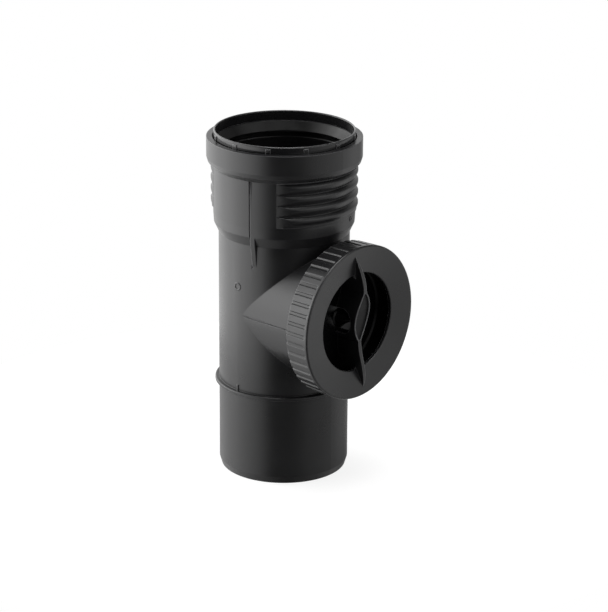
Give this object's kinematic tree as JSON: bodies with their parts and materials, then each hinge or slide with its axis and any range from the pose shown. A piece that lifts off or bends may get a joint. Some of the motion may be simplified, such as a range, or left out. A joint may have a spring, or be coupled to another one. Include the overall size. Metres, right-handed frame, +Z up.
{
  "type": "drain access pipe",
  "caption": "Push-fit plastic drain access pipe with a socket and lip seal on top, a spigot below, and a round service opening shut by a plug and a knurled screw ring with a grip bar.",
  "frame": {"origin": "centre of the spigot's end face, on the pipe's axis", "axes": "+Z up the pipe towards the socket, +X out of the service opening"},
  "size_m": [0.1549, 0.1312, 0.2956],
  "materials": {
    "moulded_pipe": "satin mineral-filled polypropylene",
    "retaining_ring": "smooth polypropylene",
    "seal_rubber": "greased EPDM",
    "screw_ring": "satin polypropylene",
    "plug": "polished polypropylene",
    "gasket_rubber": "plain EPDM"
  },
  "bodies": {
    "pipe": {"body": "moulded_pipe", "retaining_ring": "retaining_ring", "socket_seal": "seal_rubber"},
    "plug": {"access_plug": "plug", "plug_gasket": "gasket_rubber"},
    "screw_ring": {"access_cap": "screw_ring"}
  },
  "joints": [
    {"name": "plug_lift", "type": "slide", "parent": "pipe", "child": "plug", "axis": [1, 0, 0], "range_m": [0, 0.0261]},
    {"name": "ring_turn", "type": "hinge", "parent": "plug", "child": "screw_ring", "pos_m": [0.075, 0, 0.1463], "axis": [1, 0, 0], "range_deg": [0, 1440]}
  ],
  "couplings": [
    {"joint": "plug_lift", "follows": "ring_turn", "m_per_rad": 0.0010345}
  ]
}
